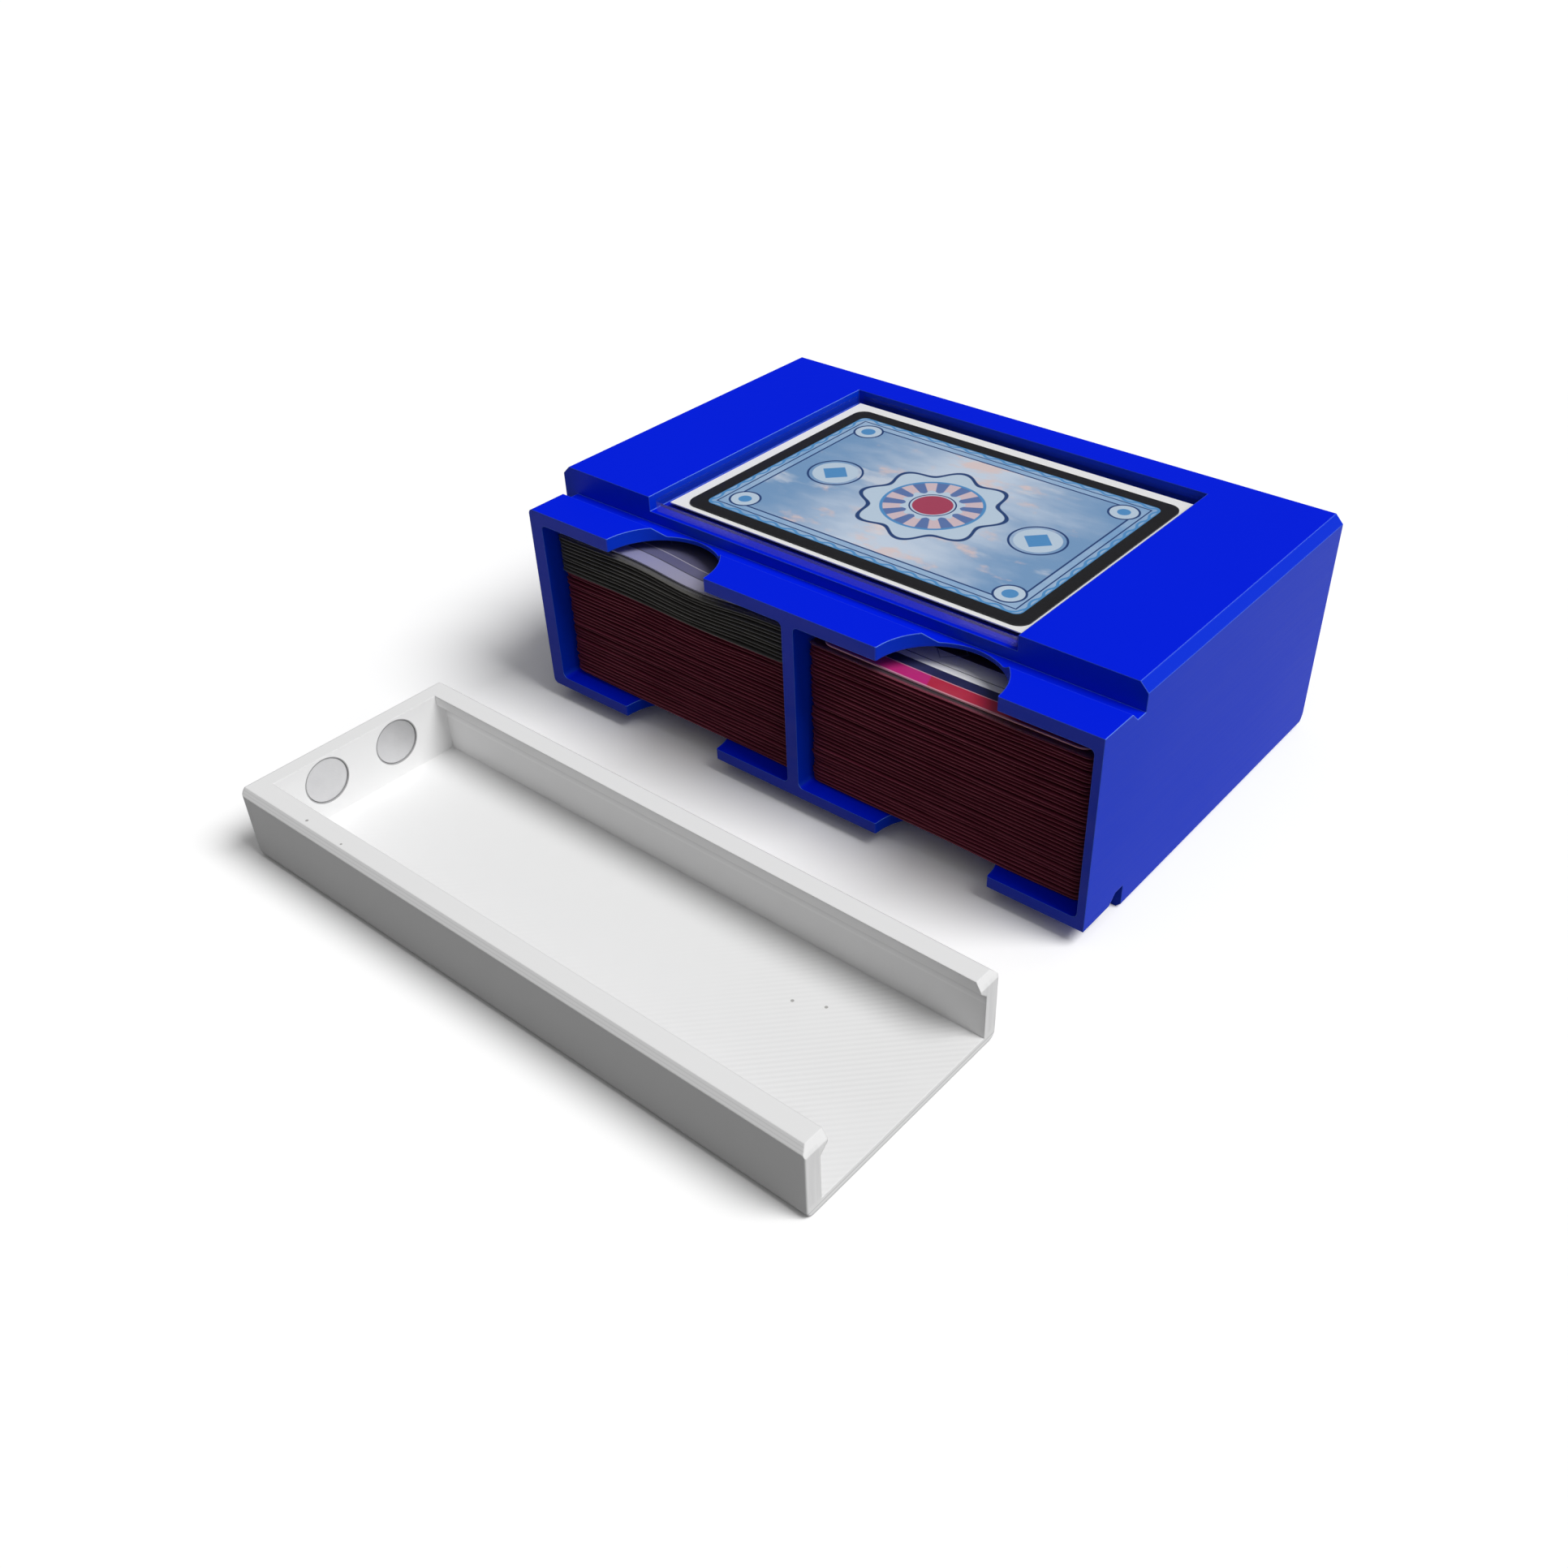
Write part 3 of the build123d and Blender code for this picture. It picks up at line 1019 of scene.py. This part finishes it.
@dataclass
class PrintedBody:
    """The printed case or cover, and the two magnets pressed into it. All keep their CAD nodes."""

    body: Body
    nodes: dict[str, bpy.types.Object]
    shell: PrintedPlastic
    plating: MagnetPlating
    magnets: tuple[str, str]

    def build(self) -> None:
        """Dresses the CAD nodes."""
        name = self.body.value
        dress(self.nodes[f"{name}_shell"], self.shell.material())
        plating = self.plating.material()
        for magnet in self.magnets:
            dress(self.nodes[f"{name}_magnet_{magnet}"], plating)
        log.info("%s dressed: shell and two magnets", name)


@dataclass
class CardHolder:
    """The clear holder in the top of the case, with its insert and its card."""

    nodes: dict[str, bpy.types.Object]
    sheet: ClearSheet
    stock: PaperStock
    tray_rise: float = 0.04 * MM

    def raised(self, name: str) -> bpy.types.Object:
        """Replaces a node by a piece whose underside stands just above what it lies on.

        Two faces in one plane render as speckles, so every vertex under the new level moves up to it.

        Args:
            name: The CAD node.

        Returns:
            The piece.
        """
        mesh = self.nodes[name].data
        points = np.empty(len(mesh.vertices) * 3)
        mesh.vertices.foreach_get("co", points)
        points = points.reshape(-1, 3)
        points[:, 2] = np.maximum(points[:, 2], points[:, 2].min() + self.tray_rise)
        faces = [list(polygon.vertices) for polygon in mesh.polygons]
        piece = mesh_object(f"{name}_clear", points, faces, Body.HOLDER, smooth=False)
        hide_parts(name)
        return piece

    def build(self) -> None:
        """Makes the tray and dresses it and the CAD nodes of the other pieces."""
        clear = self.sheet.material()
        dress(self.raised("holder_back_tray"), clear)
        dress(self.nodes["holder_front_sheet"], clear)
        dress(self.nodes["holder_backing_insert"], self.stock.material())
        low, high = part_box("display_card")
        middle = (low + high) / 2 / MM
        dress(self.nodes["display_card"], DisplayPrint("display_print", (middle.x, middle.y)).material())
        log.info("card holder dressed: tray, sheet, insert and card")


@dataclass
class Deck:
    """A deck of sleeved cards: every sleeve is its own thin closed shell, pinched shut at the front.

    Sizes are in millimetres. Turns are a wave's angle across the whole deck, in radians.
    """

    body: Body
    side: str
    piles: dict[str, Film]
    groups: dict[str, int]
    motif: Motif
    seed: int
    sag_place: float
    sag_width: float
    sag_depth: float
    forward: dict[str, float] = field(default_factory=dict)
    top_forward: float = 0.5
    spread: float = 0.9
    pitch: float = 0.9
    thick: float = 0.7
    top_thick: float = 0.82
    seam_thick: float = 0.24
    seam_width: float = 1.8
    seam_corner: float = 0.9
    settled: float = 1.6
    shift: float = 0.25
    ahead: float = 0.3
    skew: float = 0.3
    wave: float = 0.1
    wave_turns: float = 9.0
    ripple: float = 0.06
    ripple_turns: float = 14.0
    ripple_reach: float = 2.2
    pinch_reach: float = 0.25
    card_corner: float = 3.0
    card_lift: float = 0.1
    card_columns: int = 48
    columns: int = 36
    # The sleeve's section from its lower back edge round its front: depth behind the front edge, and
    # height in halves of the thickness
    section: tuple[tuple[float, float], ...] = (
        (90.0, -1.0), (14.0, -1.0), (4.0, -1.0), (1.9, -0.8), (0.8, -0.42), (0.1, -0.34),
        (0.0, 0.0), (0.1, 0.34), (0.8, 0.42), (1.9, 0.8), (4.0, 1.0), (14.0, 1.0), (90.0, 1.0),
    )  # fmt: skip

    def names(self, pile: str) -> list[str]:
        """Names of the CAD nodes of a pile."""
        return [f"{self.side}_{pile}_cards_{n + 1}" for n in range(self.groups[pile])]

    def bottom(self) -> float:
        """The level that the deck stands on."""
        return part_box(f"{self.side}_red_cards_1")[0].z

    def levels(self, pile: str) -> np.ndarray:
        """Levels of the undersides of a pile's sleeves, from the CAD nodes that they replace.

        Args:
            pile: The pile's name.

        Returns:
            The levels in metres, from the lowest up.
        """
        names = self.names(pile)
        low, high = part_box(names[0])[0].z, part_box(names[-1])[1].z
        return low + np.arange(round((high - low) / (self.pitch * MM))) * (self.pitch * MM)

    def sag(self, x: np.ndarray, z: np.ndarray) -> np.ndarray:
        """How far the sleeves dip under the thumb notch: a bell across, fading towards the bottom.

        A weaker bell the other way, to the left of the first, lifts them a little beside the dip.

        Args:
            x: Places across, in metres.
            z: Levels.

        Returns:
            The dip in metres, below zero.
        """
        low, high = self.bottom(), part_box(f"{self.side}_deck_top_sleeve")[1].z
        share = np.clip((z - low) / (high - low), 0, 1) ** 3
        across = (x - self.sag_place * MM) / (self.sag_width * MM)
        return -self.sag_depth * MM * share * (np.exp(-(across**2)) - 0.35 * np.exp(-((across + 1.6) ** 2)))

    def shells(
        self, levels: np.ndarray, random: np.random.Generator, forward: float, thick: float
    ) -> tuple[np.ndarray, np.ndarray, np.ndarray]:
        """The vertices of a stack of sleeves.

        A sleeve is a ring, its section, carried across the deck. At each place across, the section
        is thinned towards both side seams by a smooth step, moved forward by the sleeve's own
        offset and a slow wave, and dropped by the sag.

        Args:
            levels: Levels of their undersides, in metres.
            random: The source of their offsets.
            forward: How far the whole stack stands forward.
            thick: The sleeves' full thickness.

        Returns:
            Vertices in metres, and each vertex's tone and pinch.
        """
        low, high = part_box(f"{self.side}_deck_top_sleeve")
        own = (len(levels), 1, 1)
        free = np.clip((levels - self.bottom()) / (self.settled * MM), 0.0, 1.0)[:, None, None]
        shift = random.uniform(-self.shift, self.shift, own) * MM * free
        ahead = random.uniform(0.0, self.ahead, own) * MM + forward * MM
        skew = random.uniform(-self.skew, self.skew, own) * MM
        phase = random.uniform(0, 2 * math.pi, own)
        across = eased(self.columns)
        places = across[None, :, None]
        left = low.x - self.spread * MM
        x = left + places * (high.x - left) + shift
        from_side = np.minimum(across, 1 - across) * (high.x - low.x) / (self.seam_width * MM)
        side_share = np.clip(from_side, 0, 1)[None, :, None]
        corner = self.seam_corner * MM * (1 - side_share) ** 2
        side_share = side_share**2 * (3 - 2 * side_share)
        seam_thick = self.seam_thick * MM
        half = (seam_thick + (thick * MM - seam_thick) * side_share) / 2
        ring = np.array(self.section)
        depth = ring[:, 0][None, None, :] * MM
        wave = self.wave * MM * np.sin(phase + places * self.wave_turns) + skew * (places - 0.5)
        y = np.minimum(low.y - ahead + wave + corner + depth, high.y)
        middle = levels[:, None, None] + self.pitch * MM / 2
        ripple = np.exp(-depth / (self.ripple_reach * MM)) * self.ripple * MM
        z = middle + ring[:, 1][None, None, :] * half + self.sag(x, middle)
        z = z + ripple * np.sin(phase * 1.7 + places * self.ripple_turns)
        points = np.stack(np.broadcast_arrays(x, y, z), -1)
        tone = np.broadcast_to(random.uniform(0, 1, own), x.shape[:2] + (len(ring),))
        pinch = np.maximum(np.exp(-ring[:, 0] / self.pinch_reach)[None, None, :], (1 - side_share) * 0.5)
        return points.reshape(-1, 3), tone.reshape(-1), np.broadcast_to(pinch, tone.shape).reshape(-1)

    def add_sleeves(
        self, name: str, node: str, film: bpy.types.Material, shells: Sequence[np.ndarray]
    ) -> None:
        """Makes a piece of sleeves in place of a CAD node.

        Args:
            name: The piece's name.
            node: The node that it stands for.
            film: Its material.
            shells: What shells() gives.
        """
        points, tone, pinch = shells
        ring = len(self.section)
        faces = ring_faces(len(points) // (self.columns * ring), self.columns, ring)
        piece = mesh_object(name, points, faces, self.body)
        store(piece, "tone", tone)
        store(piece, "pinch", pinch)
        dress(piece, film)
        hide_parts(node)

    def build_pile(self, pile: str, random: np.random.Generator) -> None:
        """Builds a pile of sleeves, one piece for each CAD node that it replaces.

        Args:
            pile: The pile's name.
            random: The source of the sleeves' offsets.
        """
        names, levels = self.names(pile), self.levels(pile)
        film = self.piles[pile].material()
        forward = self.forward.get(pile, 0.0)
        bounds = [len(levels) * n // len(names) for n in range(len(names) + 1)]
        for name, first, last in zip(names, bounds, bounds[1:]):
            shells = self.shells(levels[first:last], random, forward, self.thick)
            self.add_sleeves(name.replace("cards", "sleeves"), name, film, shells)
        log.info("%s deck: %d %s sleeves in %d pieces", self.side, len(levels), pile, len(names))

    def build_top_card(self) -> None:
        """Builds the top card: a slab that follows the sag, its ends drawn in as round corners.

        At each place across, the slab's front and back lie on the corner's circle within the
        corner radius of either side, and on the card's own edges between them.
        """
        node = f"{self.side}_deck_top_card"
        low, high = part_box(node)
        corner = self.card_corner * MM
        x = (low.x + eased(self.card_columns) * (high.x - low.x))[:, None]
        inside = np.clip(corner - np.minimum(x - low.x, high.x - x), 0, corner)
        inset = corner - np.sqrt(np.maximum(corner**2 - inside**2, 0))
        along = np.array([1.0, 0.66, 0.33, 0.0, 0.0, 0.33, 0.66, 1.0])
        top = np.repeat([0.0, 1.0], len(along) // 2)
        y = low.y - self.top_forward * MM + inset + along * (high.y - low.y - 2 * inset)
        z = low.z + top * (high.z - low.z) + self.sag(x, np.array(low.z)) + self.card_lift * MM
        points = np.stack(np.broadcast_arrays(x, y, z), -1).reshape(-1, 3)
        faces = ring_faces(1, len(x), len(along))
        card = mesh_object(f"{self.side}_top_card", points, faces, self.body, smooth=False)
        middle = (low + high) / 2 / MM
        centre = (middle.x, middle.y - self.top_forward)
        dress(card, TopCardPrint(f"{self.side}_top_print", self.motif, centre).material())
        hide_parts(node)

    def build(self, film: Film) -> None:
        """Builds the deck: its piles, its clear top sleeve and the card in that.

        Args:
            film: The clear sleeve's finish.
        """
        random = np.random.default_rng(self.seed)
        for pile in self.piles:
            self.build_pile(pile, random)
        node = f"{self.side}_deck_top_sleeve"
        level = np.array([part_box(node)[0].z])
        shells = self.shells(level, random, self.top_forward + self.card_lift, self.top_thick)
        self.add_sleeves(f"{self.side}_top_clear_sleeve", node, film.material(), shells)
        self.build_top_card()
        log.info("%s deck: top card in its clear sleeve", self.side)


# ---------------------------------------------------------------------------- studio


@dataclass(frozen=True)
class Studio:
    """The floor, the lamp, the world and the camera of the photograph."""

    eye: tuple[float, float, float] = (0.174940, -0.244234, 0.198667)
    right: tuple[float, float, float] = (0.7861254, 0.6180065, -0.0086437)
    down: tuple[float, float, float] = (0.3835076, -0.4987066, -0.7773118)
    lens_pixels: float = 1866.974
    centre_pixels: tuple[float, float] = (1049.956, 1049.576)
    image_pixels: float = 1932.0
    sensor: float = 36.0
    clip: tuple[float, float] = (0.01, 50.0)
    floor_reach: float = 6.0
    floor_drop: float = 0.02 * MM
    key_from: tuple[float, float, float] = (0.56, 0.15, 0.81)
    key_strength: float = 2.45
    key_angle: float = 30.0
    sky_centre: tuple[float, float, float] = (0.5, 0.1, 0.86)
    sky_spread: tuple[float, float] = (0.2, 0.95)
    sky_dim: float = 0.08
    sky_bright: float = 0.6

    def stand(self, name: str, data: bpy.types.ID, columns: Sequence[Sequence[float]]) -> bpy.types.Object:
        """Puts a camera or a lamp in the scene.

        Args:
            name: Its name.
            data: Its data.
            columns: Its X, Y and Z axes and its place.

        Returns:
            The object.
        """
        made = bpy.data.objects.new(name, data)
        bpy.context.scene.collection.objects.link(made)
        turned = np.eye(4)
        turned[:3] = np.transpose(columns)
        made.matrix_world = Matrix(turned.tolist())
        return made

    def camera(self) -> None:
        """Places the camera by the solved eye, axes, focal length and principal point."""
        data = bpy.data.cameras.new("camera")
        data.sensor_width = self.sensor
        data.lens = self.lens_pixels * self.sensor / self.image_pixels
        data.shift_x = (self.image_pixels / 2 - self.centre_pixels[0]) / self.image_pixels
        data.shift_y = (self.centre_pixels[1] - self.image_pixels / 2) / self.image_pixels
        data.clip_start, data.clip_end = self.clip
        x, y = np.array(self.right), -np.array(self.down)
        x, y = x / np.linalg.norm(x), y / np.linalg.norm(y)
        bpy.context.scene.camera = self.stand("camera", data, (x, y, np.cross(x, y), self.eye))

    def floor(self) -> None:
        """Lays a wide level floor just under the object: a grid of four quads about the origin."""
        reach = np.linspace(-self.floor_reach, self.floor_reach, 3)
        x, y = np.meshgrid(reach, reach, indexing="ij")
        points = np.stack([x, y, np.full_like(x, -self.floor_drop)], -1).reshape(-1, 3)
        faces = [(0, 3, 4, 1), (1, 4, 5, 2), (3, 6, 7, 4), (4, 7, 8, 5)]
        made = mesh_object("floor", points, faces, None, smooth=False)
        dress(made, Table("table_white").material())

    def lamp(self) -> None:
        """Hangs the key lamp high at the right, a little behind the object."""
        data = bpy.data.lights.new("key", "SUN")
        data.energy = self.key_strength
        data.angle = math.radians(self.key_angle)
        back = np.array(self.key_from) / np.linalg.norm(self.key_from)
        side = np.cross((0.0, 1.0, 0.0), back)
        side = side / np.linalg.norm(side)
        self.stand("key", data, (side, np.cross(back, side), back, (0.0, 0.0, 0.0)))

    def world(self) -> None:
        """Fills the world with soft light, brightest over the right side, and white to the camera."""
        g = Graph("studio", world=True)
        around = g.node("ShaderNodeTexCoord").outputs["Generated"]
        toward = g.node("ShaderNodeVectorMath", {0: around, 1: self.sky_centre}, operation="DOT_PRODUCT")
        strength = Field(g, toward.outputs["Value"]).rise(*self.sky_spread, self.sky_dim, self.sky_bright)
        soft = g.node("ShaderNodeBackground", {"Strength": strength}).outputs[0]
        white = g.node("ShaderNodeBackground", {"Color": (1.0, 1.0, 1.0)}).outputs[0]
        seen = g.node("ShaderNodeLightPath").outputs["Is Camera Ray"]
        both = g.node("ShaderNodeMixShader", {0: seen, 1: soft, 2: white}).outputs[0]
        bpy.context.scene.world = g.ended(both)

    def build(self) -> None:
        """Sets up the whole studio."""
        self.camera()
        self.floor()
        self.lamp()
        self.world()
        bpy.context.scene.view_settings.view_transform = "Standard"
        log.info("studio: camera, floor, key lamp and world")


def main() -> None:
    """Loads the frame and builds everything on it."""
    logging.basicConfig(level=logging.INFO, format="%(name)s: %(message)s")
    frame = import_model()
    nodes = frame["nodes"]

    plating = MagnetPlating("magnet_plating")
    # Blue print: the side colour is painted shade, the edge colour a painted highlight, and the front sheen
    # a painted haze.
    blue = PrintedPlastic(
        "blue_print", colour=(0.0, 0.014, 0.77), side_shade_colour=(0.0, 0.033, 0.6),
        edge_highlight_colour=(0.18, 0.36, 1.0), roughness=0.5, shine=0.1, fill_depth=0.15, glint=0.85,
        front_sheen=0.5, edge_radius=0.3,
        marks=(
            Mark((72.05, 33.0, 40.0), 0.3, (0.2, 0.35, 0.95)),
            Mark((-38.3, -42.3, 49.0), 0.4, (0.25, 0.4, 0.95)),
        ),
    )  # fmt: skip
    grey = (0.3, 0.29, 0.28)
    # The white print's edge colour, lighter than its own, is a painted highlight on its edges.
    white = CoverPlastic(
        "white_print", colour=(0.83, 0.83, 0.83), side_shade_colour=(0.83, 0.83, 0.83),
        edge_highlight_colour=(0.9, 0.9, 0.9), roughness=0.5, shine=0.3, edge_highlight_gain=3.0, streaks=0.03,
        fill_line=1.2, fill_tone=0.35,
        marks=(
            Mark((-56.2, -126.3, 16.9), 0.32, grey), Mark((-44.7, -126.85, 16.9), 0.25, grey),
            Mark((41.8, -95.4, 2.3), 0.35, grey), Mark((47.8, -92.9, 2.3), 0.35, grey),
        ),
    )  # fmt: skip
    PrintedBody(Body.CASE, nodes, blue, plating, ("lower", "upper")).build()
    PrintedBody(Body.COVER, nodes, white, plating, ("near", "far")).build()
    CardHolder(nodes, ClearSheet("clear_sheet"), PaperStock("white_insert")).build()

    # The films' pinched colours are painted highlights on the sleeves' edges.
    red = Film("red_film", colour=(0.115, 0.008, 0.027), pinched=(0.36, 0.08, 0.12))
    dark = Film("dark_film", colour=(0.062, 0.06, 0.057), pinched=(0.2, 0.195, 0.18))
    clear = Film(
        "clear_film", colour=(0.6, 0.6, 0.66), pinched=(0.8, 0.75, 0.78), opacity=0.03, roughness=0.25
    )
    Deck(
        Body.LEFT_DECK, "left", {"red": red, "dark": dark}, {"red": 4, "dark": 2}, Motif.BACK, seed=11,
        sag_place=-26.0, sag_width=12.0, sag_depth=1.3, forward={"dark": 0.8}, top_forward=1.0,
    ).build(clear)  # fmt: skip
    Deck(
        Body.RIGHT_DECK, "right", {"red": red}, {"red": 5}, Motif.FACE, seed=23,
        sag_place=36.0, sag_width=18.0, sag_depth=0.3,
    ).build(clear)  # fmt: skip

    Studio().build()


if __name__ == "__main__":
    main()
